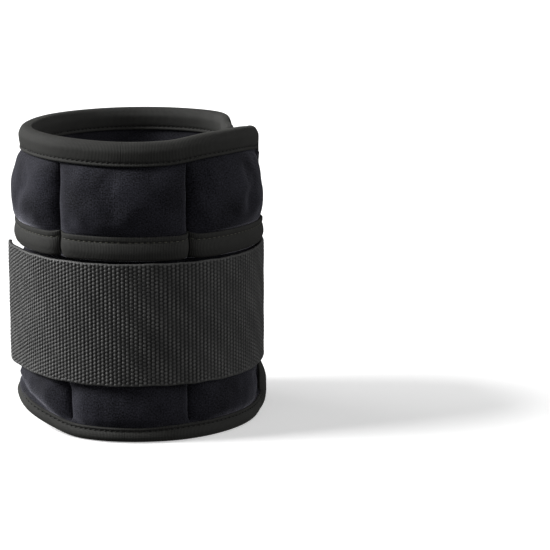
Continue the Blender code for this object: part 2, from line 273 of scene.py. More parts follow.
class Nodes:
    """Short names for building a material's nodes."""

    def __init__(self, name, coordinates="UV"):
        self.material = bpy.data.materials.new(name)
        self.material.use_nodes = True
        self.tree = self.material.node_tree
        self.shader = self.tree.nodes["Principled BSDF"]
        self.uv = self.make("ShaderNodeTexCoord").outputs[coordinates]

    def make(self, kind, **values):
        node = self.tree.nodes.new(kind)
        for key, value in values.items():
            setattr(node, key, value)
        return node

    def link(self, source, target):
        self.tree.links.new(source, target)

    def noise(self, per_metre, detail=3.0, vector=None):
        node = self.make("ShaderNodeTexNoise")
        node.inputs["Scale"].default_value = per_metre
        node.inputs["Detail"].default_value = detail
        self.link(vector or self.uv, node.inputs["Vector"])
        return node.outputs["Fac"]

    def wave(self, per_metre, direction="X", distortion=0.0, vector=None):
        """Bands across the direction, this many to a metre."""
        node = self.make("ShaderNodeTexWave", bands_direction=direction)
        node.inputs["Scale"].default_value = per_metre * 2 * math.pi / 20
        node.inputs["Distortion"].default_value = distortion
        node.inputs["Detail"].default_value = 1.0
        self.link(vector or self.uv, node.inputs["Vector"])
        return node.outputs["Fac"]

    def math(self, operation, first, second):
        node = self.make("ShaderNodeMath", operation=operation)
        for socket, value in zip(node.inputs, (first, second)):
            if isinstance(value, (int, float)):
                socket.default_value = value
            else:
                self.link(value, socket)
        return node.outputs["Value"]

    def ramp(self, factor, stops):
        node = self.make("ShaderNodeValToRGB")
        elements = node.color_ramp.elements
        while len(elements) < len(stops):
            elements.new(0.5)
        for element, (place, colour) in zip(elements, stops):
            element.position = place
            element.color = (*colour, 1.0)
        self.link(factor, node.inputs["Fac"])
        return node.outputs["Color"]

    def bump(self, height, distance_mm, strength=1.0, onto=None):
        node = self.make("ShaderNodeBump")
        node.inputs["Distance"].default_value = distance_mm * MM
        node.inputs["Strength"].default_value = strength
        self.link(height, node.inputs["Height"])
        if onto is not None:
            self.link(onto, node.inputs["Normal"])
        return node.outputs["Normal"]

    def finish(self, roughness, colour=None, normal=None, sheen=0.0, tint=(1, 1, 1), sheen_roughness=0.4,
               specular=0.5, metallic=0.0):
        inputs = self.shader.inputs
        inputs["Roughness"].default_value = roughness
        inputs["Metallic"].default_value = metallic
        inputs["Sheen Weight"].default_value = sheen
        inputs["Sheen Tint"].default_value = (*tint, 1.0)
        inputs["Sheen Roughness"].default_value = sheen_roughness
        inputs["Specular IOR Level"].default_value = specular
        if colour is not None:
            self.link(colour, inputs["Base Color"])
        if normal is not None:
            self.link(normal, inputs["Normal"])
        return self.material


def jersey(name, dark, light, sheen):
    """Fine knitted jersey on neoprene foam: little V loops in columns, and a soft uneven nap."""
    n = Nodes(name)
    columns = n.wave(1500, "X", 1.2)
    rows = n.wave(1900, "Y", 1.2)
    knit = n.math("MULTIPLY", columns, rows)
    grain = n.noise(1700, 4.0)
    clouds = n.noise(60, 3.0)
    shade = n.math("ADD", n.math("MULTIPLY", clouds, 0.3), n.math("MULTIPLY", grain, 0.7))
    colour = n.ramp(shade, [(0.38, dark), (0.64, light)])
    normal = n.bump(n.math("ADD", knit, n.math("MULTIPLY", grain, 0.9)), 0.10, 0.8)
    return n.finish(0.75, colour, normal, sheen, (0.86, 0.86, 1.0), 0.30, 0.12)


def ribbed_tape(name):
    """Knitted edge binding, with fine ribs across its length."""
    n = Nodes(name)
    ribs = n.wave(1650, "X", 0.5)
    grain = n.noise(2600, 3.0)
    clouds = n.noise(110, 2.0)
    shade = n.math("ADD", n.math("MULTIPLY", ribs, 0.45),
                   n.math("ADD", n.math("MULTIPLY", grain, 0.3), n.math("MULTIPLY", clouds, 0.25)))
    colour = n.ramp(shade, [(0.2, (0.0135, 0.0135, 0.0125)), (0.8, (0.054, 0.054, 0.051))])
    normal = n.bump(n.math("ADD", ribs, n.math("MULTIPLY", grain, 0.5)), 0.12, 0.8)
    return n.finish(0.75, colour, normal, 0.06, (1.0, 1.0, 0.94), 0.4, 0.2)


def woven(name):
    """Coarse webbing: its grains are modelled, and their tops are painted lighter than the gaps: a painted highlight on
    the grain tops and painted shade in the gaps between them.
    """
    n = Nodes(name)
    high = n.make("ShaderNodeAttribute", attribute_name="weave").outputs["Fac"]
    fibres = n.wave(4200, "Y", 3.0)
    grain = n.noise(3000, 3.0)
    # The colour follows the grains' height: a painted highlight on each grain's top and painted shade in the gaps
    # between grains, mixed with random grain tone and broad patches.
    shade = n.math("ADD", n.math("MULTIPLY", high, 0.75), n.math("MULTIPLY", grain, 0.25))
    patches = n.math("MULTIPLY", n.math("SUBTRACT", n.noise(55, 3.0), 0.5), 0.35)
    colour = n.ramp(n.math("ADD", shade, patches), [(0.15, (0.004, 0.004, 0.004)), (0.55, (0.038, 0.038, 0.037)),
                                                    (0.92, (0.125, 0.125, 0.122))])
    normal = n.bump(n.math("ADD", fibres, grain), 0.05, 0.6)
    return n.finish(0.46, colour, normal, 0.1, (1, 1, 1), 0.4, 0.5)


def plain(name, dark, light, roughness, scale, bump_mm, sheen=0.0, metallic=0.0, specular=0.4):
    n = Nodes(name)
    grain = n.noise(scale, 4.0)
    colour = n.ramp(grain, [(0.3, dark), (0.7, light)])
    return n.finish(roughness, colour, n.bump(grain, bump_mm, 0.8), sheen, (1, 1, 1), 0.4, specular, metallic)


def studded(name, dark, light, roughness, per_metre, bump_mm, metallic=0.0, coordinates="UV"):
    """Rows of small round heads: hooks, or shot. Each head is painted lighter in its middle and darker towards its
    edge: a painted highlight on the heads and painted shade in the gaps between them.
    """
    n = Nodes(name, coordinates)
    cells = n.make("ShaderNodeTexVoronoi")
    cells.inputs["Scale"].default_value = per_metre
    n.link(n.uv, cells.inputs["Vector"])
    heads = n.math("SUBTRACT", 1.0, cells.outputs["Distance"])
    # The colour follows each head's height: a painted highlight on the heads and painted shade in the gaps between
    # them.
    colour = n.ramp(heads, [(0.3, dark), (0.85, light)])
    return n.finish(roughness, colour, n.bump(heads, bump_mm, 1.0), metallic=metallic)


neoprene = jersey("neoprene_jersey", (0.0009, 0.0009, 0.0017), (0.0350, 0.0350, 0.0470), 0.60)
lining_cloth = jersey("lining_jersey", (0.003, 0.003, 0.005), (0.026, 0.026, 0.034), 0.50)
binding_tape = ribbed_tape("binding_tape")
webbing = woven("strap_webbing")
thread_dark = plain("dark_thread", (0.002, 0.002, 0.0015), (0.008, 0.008, 0.006), 0.6, 4000, 0.03)
thread_olive = plain("olive_thread", (0.06, 0.06, 0.045), (0.15, 0.15, 0.12), 0.55, 4000, 0.03)
loop_pile = plain("loop_tape", (0.004, 0.004, 0.004), (0.022, 0.022, 0.022), 0.9, 2600, 0.25, 0.5)
hook_plastic = studded("hook_tape", (0.006, 0.006, 0.006), (0.04, 0.04, 0.04), 0.45, 900, 0.3)
coated_nylon = plain("coated_nylon", (0.05, 0.05, 0.053), (0.10, 0.10, 0.105), 0.5, 900, 0.08)
shot_metal = studded("steel_shot", (0.05, 0.05, 0.05), (0.4, 0.4, 0.41), 0.35, 500, 0.5, 1.0, "Object")


# Shape of the cuff

def pocket_place(azimuth, seam_shift=0.0):
    """How far across its pocket an azimuth is, from -1 at one seam to 1 at the other."""
    edges = [PAD_END, SEAMS[0], SEAMS[1] + seam_shift, SEAMS[2], SEAMS[3], TONGUE_LINE]
    for high, low in zip(edges, edges[1:]):
        if azimuth >= low:
            return min(max((azimuth - (high + low) / 2) / ((high - low) / 2), -1.0), 1.0)
    return -1.0


def fullness(azimuth, seam_shift=0.0, power=4.0, root=0.5):
    place = abs(pocket_place(azimuth, seam_shift))
    return float((1 - place ** power) ** root)


def near_end(azimuth):
    """0 on the pockets, 1 on the flat end of the wrap."""
    return float(step((azimuth - PAD_END + 3.0) / 4.0))


def near_tongue(azimuth):
    return float(step((-216.0 - azimuth) / 46.0))


def bottom_rise(azimuth):
    """The lower rim lifts a little at the left side."""
    rising = step((-30.0 - azimuth) / 56.0) * step((azimuth + 150.0) / 56.0)
    return 8.5 * float(rising)


def top_rise(azimuth):
    dip = 0.9 * math.exp(-((azimuth + 6.0) / 34.0) ** 2)
    end = 1.1 * step((azimuth - 62.0) / 30.0)
    return 1.6 * step((azimuth - 12.0) / 26.0) * (1 - step((azimuth - 48.0) / 40.0)) - dip - end


def flare(azimuth, height):
    """The wrap's end curls outwards below the strap."""
    low = step((24.0 - height) / 11.0)
    outer = step((azimuth - 82.0) / 12.0)
    left = step((-44.0 - azimuth) / 26.0) * step((azimuth + 128.0) / 30.0) * step((19.0 - height) / 10.0)
    return 2.6 * float(low) * float(outer) + 2.4 * float(left)


def rim_radius(azimuth, height):
    base = mix(RIM_BOTTOM_R, RIM_TOP_R, height / HEIGHT)
    thinner = mix(0.0, 6.4, near_tongue(azimuth))
    uneven = 0.25 * ripple(azimuth, height * 0.3, 3)
    held_in = 0.9 * step((azimuth - 74.0) / 12.0) * step((height - 16.0) / 10.0) * step((82.0 - height) / 10.0)
    return base - thinner + uneven - held_in + flare(azimuth, height)


def rim_thickness(azimuth):
    return mix(RIM_THICK, 4.2, near_tongue(azimuth))


def corner_rise(azimuth):
    """How far the wrap's edge comes in at its end's rounded corners."""
    left = (WRAP_END - azimuth) * DEGREE
    if left >= CORNER:
        return 0.0
    return CORNER - math.sqrt(max(CORNER ** 2 - (CORNER - left) ** 2, 0.0))


BOTTOM_DEPTHS = [(-230, 7.0), (-160, 6.4), (-120, 6.0), (-86, 5.9), (-50, 6.0), (0, 5.9), (22, 6.8), (96, 7.2)]


def bottom_depth(azimuth):
    return float(np.interp(azimuth, *zip(*BOTTOM_DEPTHS)))


# Cloth simulation: the uneven swelling of filled neoprene held at its seams

DETAIL_STEP = 1.4               # millimetres between the simulated sheet's points
SIMULATED_SCALE = 10            # Cloth behaves better on a larger sheet
FRAMES = 30
DETAIL_GAIN = 1.5
DETAIL_CAP = 0.9
UPPER_SPAN = (85.5, 113.5)      # heights that each tier's unevenness covers
LOWER_SPAN = (9.0, 73.0)


def simulate_swelling(width, height, seed):
    """What an inflated sheet, sewn at its edges, leaves once its broad dome is taken out, in millimetres."""
    columns, rows = round(width / DETAIL_STEP), round(height / DETAIL_STEP)
    flat = np.zeros((rows + 1, columns + 1))
    across, up = np.meshgrid(np.linspace(-1, 1, columns + 1), np.linspace(-1, 1, rows + 1))
    rng = np.random.default_rng(seed)
    lumps = np.zeros(across.shape)
    for _ in range(7):
        x, y, turn = rng.uniform(-0.8, 0.8), rng.uniform(-0.8, 0.8), rng.uniform(-1.1, 1.1)
        lumps += turn * np.exp(-((across - x) ** 2 + (up - y) ** 2) / 0.09)
    high = (5.0 + lumps) * (1 - across ** 4) * (1 - up ** 4)
    verts = np.stack([across * width / 2, up * height / 2, high], -1).reshape(-1, 3)
    i, j = np.meshgrid(np.arange(rows), np.arange(columns), indexing="ij")
    first = (i * (columns + 1) + j).ravel()
    faces = np.stack([first, first + 1, first + columns + 2, first + columns + 1], -1).tolist()
    mesh = bpy.data.meshes.new("swelling")
    mesh.from_pydata((verts * MM * SIMULATED_SCALE).tolist(), [], faces)
    obj = bpy.data.objects.new("swelling", mesh)
    bpy.context.scene.collection.objects.link(obj)
    held = obj.vertex_groups.new(name="sewn")
    border = (np.abs(across) > 0.999) | (np.abs(up) > 0.999)
    held.add(np.flatnonzero(border.ravel()).tolist(), 1.0, "REPLACE")
    settings = obj.modifiers.new("cloth", "CLOTH").settings
    settings.vertex_group_mass = "sewn"
    settings.quality = 7
    settings.mass = 0.3
    settings.tension_stiffness = settings.compression_stiffness = 12.0
    settings.shear_stiffness = 6.0
    settings.bending_stiffness = 0.6
    settings.use_pressure = True
    settings.uniform_pressure_force = 2.2
    settings.shrink_min = -0.07
    settings.effector_weights.gravity = 0.0
    obj.modifiers["cloth"].point_cache.frame_end = FRAMES
    for number in range(1, FRAMES + 1):
        bpy.context.scene.frame_set(number)
    evaluated = obj.evaluated_get(bpy.context.evaluated_depsgraph_get())
    moved = np.array([v.co for v in evaluated.data.vertices]) / (MM * SIMULATED_SCALE)
    bpy.context.scene.frame_set(1)
    bpy.data.objects.remove(obj)
    swollen = moved[:, 2].reshape(flat.shape)
    terms = [(1 - across ** 2) * (1 - up ** 2) * across ** m * up ** n
             for m in range(0, 7, 2) for n in range(0, 7, 2)]
    basis = np.stack([term.ravel() for term in terms], -1)
    weights = np.linalg.lstsq(basis, swollen.ravel(), rcond=None)[0]
    detail = swollen - (basis @ weights).reshape(flat.shape)
    for _ in range(3):
        wide = np.pad(detail, 1, mode="edge")
        detail = sum(wide[i:i + rows + 1, j:j + columns + 1] for i in range(3) for j in range(3)) / 9
    return np.clip(detail * DETAIL_GAIN, -DETAIL_CAP, DETAIL_CAP)


def sample(field, across, up):
    """The field at a place from 0 to 1 each way."""
    x = min(max(across, 0.0), 1.0) * (field.shape[1] - 1.001)
    y = min(max(up, 0.0), 1.0) * (field.shape[0] - 1.001)
    i, j = int(y), int(x)
    fx, fy = x - j, y - i
    return (field[i, j] * (1 - fx) * (1 - fy) + field[i, j + 1] * fx * (1 - fy)
            + field[i + 1, j] * (1 - fx) * fy + field[i + 1, j + 1] * fx * fy)


UPPER_SWELLING = simulate_swelling(55.0, 30.0, 1)
LOWER_SWELLING = simulate_swelling(55.0, 66.0, 2)


def swelling(field, azimuth, up):
    """Every other pocket takes it mirrored."""
    place = 0.5 + 0.5 * pocket_place(azimuth)
    number = sum(azimuth < seam for seam in SEAMS)
    return sample(field, place if number % 2 else 1 - place, up) * (1 - near_end(azimuth))


def under_strap(azimuth, height):
    """1 where the strap presses a pocket's front flat, 0 where the cloth is free to swell."""
    covered = max(step((azimuth + 98.0) / 8.0), step((-190.0 - azimuth) / 8.0))
    return covered * step((height - 20.0) / 5.0) * (1 - step((height - 77.0) / 5.0))


# Neoprene panels and lining

def upper_panel(azimuth):
    full = fullness(azimuth, -2.4)
    flat = near_end(azimuth)
    seam = mix(45.2, 48.2, flat)
    top = HEIGHT + top_rise(azimuth) - corner_rise(azimuth) * 1.1
    lift = top - HEIGHT
    soft = 0.32 * float(ripple(azimuth, 0.0, 11, 2.0)) * full
    gather = 0.09 * ripple(azimuth, 0.0, 5, 5.0) * full
    waist = rim_radius(azimuth, 115.0) - TAPE - 0.5
    controls = [
        (75.0, mix(47.2, 50.7, full)), (80.0, mix(47.2, 50.8, full)), (84.4, mix(46.6, 50.9, full)),
        (86.2, mix(seam + 0.5, 52.0, full) + gather * 0.5), (89.2, mix(seam, 52.75, full) + gather),
        (94.0, mix(seam, 53.15, full) + soft), (100.0, mix(seam, 52.95, full) - soft),
        (105.5 + lift * 0.6, mix(seam, 52.1, full) + gather),
        (109.5 + lift * 0.9, mix(seam + 0.6, 50.6, full) + gather * 1.5),
        (112.0 + lift, mix(seam + 1.4, 48.9, full) + gather), (113.6 + lift, waist - 0.3), (118.0 + lift, waist),
        (121.2 + lift, waist),
    ]
    return shell_section(azimuth, controls, UPPER_SWELLING, UPPER_SPAN)


def left_seam_shift(height):
    return max(3.9 - 0.117 * height, 0.0)


def lower_panel(azimuth):
    flat = near_end(azimuth)
    low = bottom_rise(azimuth) + corner_rise(azimuth) * 1.1
    edge = low + bottom_depth(azimuth)
    behind = fullness(azimuth)
    seam = mix(45.4, 48.4, flat)
    soft = 0.3 * float(ripple(azimuth, 0.0, 21, 2.0))
    gather = 0.05 * ripple(azimuth, 0.0, 15, 5.0)
    rim = rim_radius(azimuth, 4.0) - TAPE - 0.5

    def level(height, crest, seam_add=0.0):
        full = fullness(azimuth, left_seam_shift(height))
        curl = flare(azimuth, height) * flat
        inwards = 2.4 * step((azimuth - 60.0) / 26.0)
        return height, mix(seam + seam_add + curl, crest - inwards, full * (1 - flat)) + (soft + gather) * full * 0.8

    top = HEIGHT - 39.0
    controls = [
        (low + 1.6, rim), (low + 0.55 * bottom_depth(azimuth), rim), (edge, rim + 0.2 * behind),
        level(edge + 1.6, 50.2, 1.2), level(edge + 4.0, 51.1, 0.4), level(mix(edge, 22.0, 0.62), 51.3),
        level(20.0, 50.9), (23.5, mix(seam, 50.4, behind * (1 - flat))), (30.0, mix(seam, 49.8, behind * (1 - flat))),
        (48.0, mix(seam, 49.8, behind * (1 - flat))), (68.0, mix(seam, 49.7, behind * (1 - flat))),
        (73.5, mix(45.0, 47.0, behind)), (top, mix(45.0, 46.9, behind)),
    ]
    return shell_section(azimuth, controls, LOWER_SWELLING, LOWER_SPAN)


def lining_panel(azimuth):
    low = bottom_rise(azimuth) + corner_rise(azimuth) * 1.1
    high = HEIGHT + top_rise(azimuth) - corner_rise(azimuth) * 1.1
    thin = near_tongue(azimuth)
    flat = near_end(azimuth)
    top = rim_radius(azimuth, 115.0) - mix(3.4, 1.2, thin)
    bottom = rim_radius(azimuth, 4.0) - mix(3.4, 1.2, thin)
    middle = mix(41.8, 45.0, flat) + 0.35 * float(ripple(azimuth, 0.0, 31, 2.0)) * (1 - thin)
    seam_dip = 0.5 * (1 - fullness(azimuth, 0.0, 10.0))
    controls = [
        (low + 1.6, bottom), (low + 7.0, bottom), (low + 11.5, bottom - 0.5), (21.0, middle + seam_dip + 0.3),
        (32.0, middle + seam_dip), (62.0, middle + seam_dip - 0.1), (90.0, middle + seam_dip),
        (102.0, middle + seam_dip + 0.4), (high - 12.0, top - 0.6), (high - 7.0, top), (high - 1.8, top),
    ]
    return shell_section(azimuth, controls)


def shell_section(azimuth, controls, field=None, span=(0.0, 1.0)):
    """A sheet of neoprene whose outer face runs up through the controls."""
    outer = smooth_path(controls, 5)
    if field is not None:
        low, high = span
        for point in outer:
            up = (point[0] - low) / (high - low)
            if 0 < up < 1:
                free = step(6 * min(up, 1 - up)) * (1 - under_strap(azimuth, point[0]))
                point[1] += swelling(field, azimuth, up) * free
    inner = outer[::4][::-1].copy()
    inner[:, 1] -= NEOPRENE
    path = np.vstack([outer, inner])
    return polar(azimuth, path[:, 1], path[:, 0])


# Bindings

def fold_section(thick, depth, groove):
    """A folded tape: (distance in from the edge, depth below the outer face), outside then hidden inside."""
    half = [(depth, 0.80), (depth - 0.12, 0.34), (depth - 0.55, 0.16), (depth - groove + 0.55, 0.28),
            (depth - groove, 0.72), (depth - groove - 0.65, 0.26), (depth * 0.55, -0.10), (depth * 0.36, -0.18),
            (depth * 0.2, 0.06 * thick), (depth * 0.09, 0.16 * thick), (depth * 0.022, 0.32 * thick)]
    mirrored = [(d, thick - e) for d, e in reversed(half)]
    outside = smooth_path(half + [(0.0, 0.5 * thick)] + mirrored, 3)
    hidden = [(depth - 0.2, 0.8 + TAPE), (depth * 0.5, TAPE + 0.2), (depth * 0.25, TAPE + 0.3),
              (1.2, 0.5 * thick)]
    back = [(d, thick - e) for d, e in reversed(hidden)]
    inside = np.array(hidden + back[1:])[::-1]
    return np.vstack([outside, inside])


def edge_binding(name, stations, place, radius, thick, depth, groove, scale=DEGREE):
    """Tape along an edge. place(station) gives (azimuth, height, edge's outward direction)."""
    def loop(station):
        azimuth, height, (out_across, out_up) = place(station)
        section = fold_section(thick(azimuth), depth(azimuth), groove)
        up = height - section[:, 0] * out_up
        around = azimuth - section[:, 0] * out_across / DEGREE
        outer = np.array([radius(a, z) for a, z in zip(around, up)])
        return polar(around, outer - section[:, 1], up)

    return sweep(name, stations, loop, binding_tape, scale)


def stitch_line(place, radius, inset, inner_by=None):
    """A stitch line's (point, outward normal), this far in from an edge."""
    def point(station):
        azimuth, height, (out_across, out_up) = place(station)
        up = height - inset(azimuth) * out_up
        around = azimuth - inset(azimuth) * out_across / DEGREE
        outward = polar(around, 1.0, 0.0)
        face = radius(around, up)
        if inner_by is None:
            return polar(around, face - 0.66, up), outward
        return polar(around, face - inner_by(azimuth) + 0.66, up), -outward

    return point


def top_place(station):
    return station, HEIGHT + top_rise(station), (0.0, 1.0)


def bottom_place(station):
    return station, bottom_rise(station), (0.0, -1.0)


def flap_edge(azimuth):
    """The flap's lower edge lifts slightly where it is sewn into a seam."""
    return FLAP_BOTTOM + 1.3 * (1 - fullness(azimuth, 0.0, 14.0, 0.5))


def flap_place(station):
    return station, flap_edge(station), (0.0, -1.0)


def flap_radius(azimuth, height):
    full = fullness(azimuth, 0.0, 12.0, 0.55)
    return mix(48.2, FLAP_R + 0.1, full) + 0.12 * float(ripple(azimuth, 0.0, 41, 3.0))


def bottom_rim_depth(azimuth):
    return bottom_depth(azimuth) + 0.4


def build_ring():
    for span in SPANS:
        name, first, last, _, seam = span
        close = SEAMS + [PAD_END, TONGUE_LINE, -42.4, -38.6, -37.2]
        inset_end = 2.3 if first == WRAP_END else 0.0
        ring = stations_between(first - inset_end, last, close)
        pockets = STANDS_FOR[name]
        made = []
        for kind, section, cloth, fill in (("upper_panel", upper_panel, neoprene, 0.75),
                                           ("lower_panel", lower_panel, neoprene, 0.75),
                                           ("lining", lining_panel, lining_cloth, 1.0)):
            obj = sweep(f"{kind}_{name}", ring, section, cloth)
            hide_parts(*[f"{p}_{kind}" for p in pockets])
            made.append(obj)
        tape_first = 84.0 if first == WRAP_END else first
        tape = stations_between(tape_first, last, close, 1.0, 0.3)
        rims = [("top", top_place, lambda a: RIM_DEPTH, 1.5), ("bottom", bottom_place, bottom_rim_depth, 1.4)]
        for kind, place, depth, groove in rims:
            obj = edge_binding(f"{kind}_binding_{name}", tape, place, rim_radius, rim_thickness, depth, groove)
            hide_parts(*[f"{p}_{kind}_binding" for p in pockets])
            made.append(obj)
            inset = (lambda a, d=depth, g=groove: d(a) - g)
            for side, inner_by in (("out", None), ("in", rim_thickness)):
                runs = stitch_runs(tape_first, last, stitch_line(place, rim_radius, inset, inner_by))
                thread = dashes(f"{kind}_stitches_{side}_{name}", runs, thread_dark)
                made.append(thread)
        flap_first = PAD_END - 0.4 if first == WRAP_END else first
        flap_last = last + 0.4 if last == TONGUE_LINE else last
        flap = stations_between(flap_first, flap_last, close, 1.0, 0.22)
        obj = edge_binding(f"flap_binding_{name}", flap, flap_place, flap_radius, lambda a: FLAP_THICK,
                           lambda a: FLAP_DEPTH, 2.3)
        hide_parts(*[f"{p}_flap_binding" for p in pockets])
        made.append(obj)
        runs = stitch_runs(flap_first, flap_last, stitch_line(flap_place, flap_radius, lambda a: FLAP_DEPTH - 2.3))
        thread = dashes(f"flap_stitches_{name}", runs, thread_olive, 0.19)
        made.append(thread)
        for obj in made:
            bend_across(obj, span)


# Wrap's free end

def end_place(station):
    """Along the top to the corner, down the end and back along the bottom, in millimetres."""
    start = 84.0
    straight = (WRAP_END - start) * DEGREE - CORNER
    arc = CORNER * math.pi / 2
    down = HEIGHT - 2 * CORNER
    rise = top_rise(WRAP_END)
    if station < straight:
        return start + station / DEGREE, HEIGHT + rise, (0.0, 1.0)
    station -= straight
    centre = WRAP_END - CORNER / DEGREE
    if station < arc:
        angle = station / CORNER
        return (centre + CORNER * math.sin(angle) / DEGREE, HEIGHT + rise - CORNER + CORNER * math.cos(angle),
                (math.sin(angle), math.cos(angle)))
    station -= arc
    if station < down:
        share = station / down
        return WRAP_END, mix(HEIGHT + rise - CORNER, CORNER, share), (1.0, 0.0)
    station -= down
    if station < arc:
        angle = station / CORNER
        return (centre + CORNER * math.cos(angle) / DEGREE, CORNER - CORNER * math.sin(angle),
                (math.cos(angle), -math.sin(angle)))
    station -= arc
    return centre - station / DEGREE, 0.0, (0.0, -1.0)


END_LENGTH = 2 * ((WRAP_END - 84.0) * DEGREE - CORNER) + math.pi * CORNER + HEIGHT - 2 * CORNER


def end_depth(station):
    """From the top rim's depth, through a narrower end, to the bottom rim's."""
    share = station / END_LENGTH
    return float(np.interp(share, [0, 0.1, 0.25, 0.78, 0.86, 0.93, 1.0], [RIM_DEPTH, 8.4, 7.4, 8.0, 9.8, 9.2, 7.48]))


def build_end():
    def loop(station):
        azimuth, height, (out_across, out_up) = end_place(station)
        section = fold_section(RIM_THICK, end_depth(station), 1.5)
        up = height - section[:, 0] * out_up
        around = azimuth - section[:, 0] * out_across / DEGREE
        outer = np.array([rim_radius(a, z) for a, z in zip(around, up)])
        return polar(around, outer - section[:, 1], up)

    stations = np.linspace(0.0, END_LENGTH, 150)
    obj = sweep("end_binding", stations, loop, binding_tape, 1.0)
    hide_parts("right_end_binding")
    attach(obj, "right")
    for side, inner_by in (("out", None), ("in", lambda a: RIM_THICK)):
        def point(station, inner=inner_by):
            inset = end_depth(station) - 1.5
            return stitch_line(end_place, rim_radius, lambda a: inset, inner)(station)

        runs = stitch_runs(0.0, END_LENGTH, point, scale=1.0)
        thread = dashes(f"end_stitches_{side}", runs, thread_dark)
        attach(thread, "right")


# Tongue

TONGUE_END = -290.5
TONGUE_LOW = 1.0
TONGUE_HIGH = 122.0
TONGUE_DEGREE = 0.70            # millimetres in a degree at the tongue
TONGUE_CORNER = 7.0


def tongue_radius(azimuth):
    """Outer face: level with the lining at the hinge, then inside the wrap's free end."""
    share = step((TONGUE_LINE - azimuth) / 26.0)
    return float(mix(42.0, 38.3, share))


def tongue_sheet(azimuth):
    outer = tongue_radius(azimuth)
    uneven = 0.25 * ripple(azimuth, 0.0, 51, 2.0)
    heights = np.linspace(TONGUE_LOW + 1.5, TONGUE_HIGH - 1.5, 26)
    bow = 0.35 * np.sin(np.pi * (heights - TONGUE_LOW) / (TONGUE_HIGH - TONGUE_LOW)) * float(uneven)
    middle = np.array([tongue_rim(azimuth, z) for z in heights]) - (rim_thickness(azimuth) - NEOPRENE) / 2
    edge = np.minimum(heights - TONGUE_LOW, TONGUE_HIGH - heights)
    rim = (middle - outer - bow) * (1 - step((edge - 8.0) / 8.0))
    radius = outer + bow + rim
    loop_r = np.concatenate([radius, (radius - NEOPRENE)[::-1]])
    loop_z = np.concatenate([heights, heights[::-1]])
    return polar(azimuth, loop_r, loop_z)


def tongue_start(azimuth):
    """1 at the hinge line, where the tongue's binding runs on from the rear pocket's, 0 further on."""
    return 1 - step((TONGUE_LINE - azimuth) / 33.0)


def tongue_rim(azimuth, height):
    return mix(tongue_radius(azimuth) + TAPE + 0.35, rim_radius(azimuth, height), tongue_start(azimuth))


def tongue_edge_place(station):
    """Along the top, down the end and back along the bottom, in millimetres, from the hinge line."""
    degree = TONGUE_DEGREE
    corner = TONGUE_CORNER
    straight = (TONGUE_LINE - TONGUE_END) * degree - corner
    arc = corner * math.pi / 2
    down = TONGUE_HIGH - TONGUE_LOW - 2 * corner
    centre = TONGUE_END + corner / degree
    if station < straight:
        azimuth = TONGUE_LINE - station / degree
        return azimuth, mix(TONGUE_HIGH, HEIGHT, tongue_start(azimuth)), (0.0, 1.0)
    station -= straight
    if station < arc:
        angle = station / corner
        return (centre - corner * math.sin(angle) / degree, TONGUE_HIGH - corner + corner * math.cos(angle),
                (-math.sin(angle), math.cos(angle)))
    station -= arc
    if station < down:
        return TONGUE_END, TONGUE_HIGH - corner - station, (-1.0, 0.0)
    station -= down
    if station < arc:
        angle = station / corner
        return (centre - corner * math.cos(angle) / degree, TONGUE_LOW + corner - corner * math.sin(angle),
                (-math.cos(angle), -math.sin(angle)))
    station -= arc
    azimuth = centre + station / degree
    return azimuth, mix(TONGUE_LOW, 0.0, tongue_start(azimuth)), (0.0, -1.0)


TONGUE_LENGTH = (2 * ((TONGUE_LINE - TONGUE_END) * TONGUE_DEGREE - TONGUE_CORNER) + math.pi * TONGUE_CORNER
                 + TONGUE_HIGH - TONGUE_LOW - 2 * TONGUE_CORNER)


def bend_tongue(obj):
    along = -polar(TONGUE_LINE + 90, 1.0, 0.0)
    centre = polar(TONGUE_LINE, PIVOT_R, 48.0)
    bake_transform(obj)


def build_tongue():
    sheet = sweep("tongue_cloth", np.linspace(TONGUE_LINE, TONGUE_END + 2.5, 60), tongue_sheet, neoprene, TONGUE_DEGREE)
    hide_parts("tongue")

    def loop(station):
        azimuth, height, (out_across, out_up) = tongue_edge_place(station)
        wide = RIM_DEPTH if out_up > 0.5 else bottom_rim_depth(TONGUE_LINE)
        section = fold_section(rim_thickness(azimuth), mix(8.0, wide, tongue_start(azimuth)), 1.5)
        up = height - section[:, 0] * out_up
        around = azimuth - section[:, 0] * out_across / TONGUE_DEGREE
        outer = np.array([tongue_rim(a, z) for a, z in zip(around, up)])
        return polar(around, outer - section[:, 1], up)

    tape = sweep("tongue_binding", np.linspace(0.0, TONGUE_LENGTH, 190), loop, binding_tape, 1.0)
    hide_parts("tongue_top_binding", "tongue_bottom_binding", "tongue_end_binding")
    made = [sheet, tape]
    for side in ("out", "in"):
        def point(station, inside=side == "in"):
            azimuth, height, (out_across, out_up) = tongue_edge_place(station)
            up = height - 6.5 * out_up
            around = azimuth - 6.5 * out_across / TONGUE_DEGREE
            outward = polar(around, 1.0, 0.0)
            face = tongue_rim(around, up)
            if inside:
                return polar(around, face - rim_thickness(azimuth) + 0.66, up), -outward
            return polar(around, face - 0.66, up), outward

        thread = dashes(f"tongue_stitches_{side}", stitch_runs(0.5, TONGUE_LENGTH - 0.5, point, scale=1.0),
                        thread_dark)
        made.append(thread)
    for obj in made:
        bend_tongue(obj)


# Strap

WEAVE_ACROSS = 1.7              # from one column of grains to the next, along the strap
WEAVE_UP = 1.55
WEAVE_RISE = 0.5
SELVEDGE = 1.3


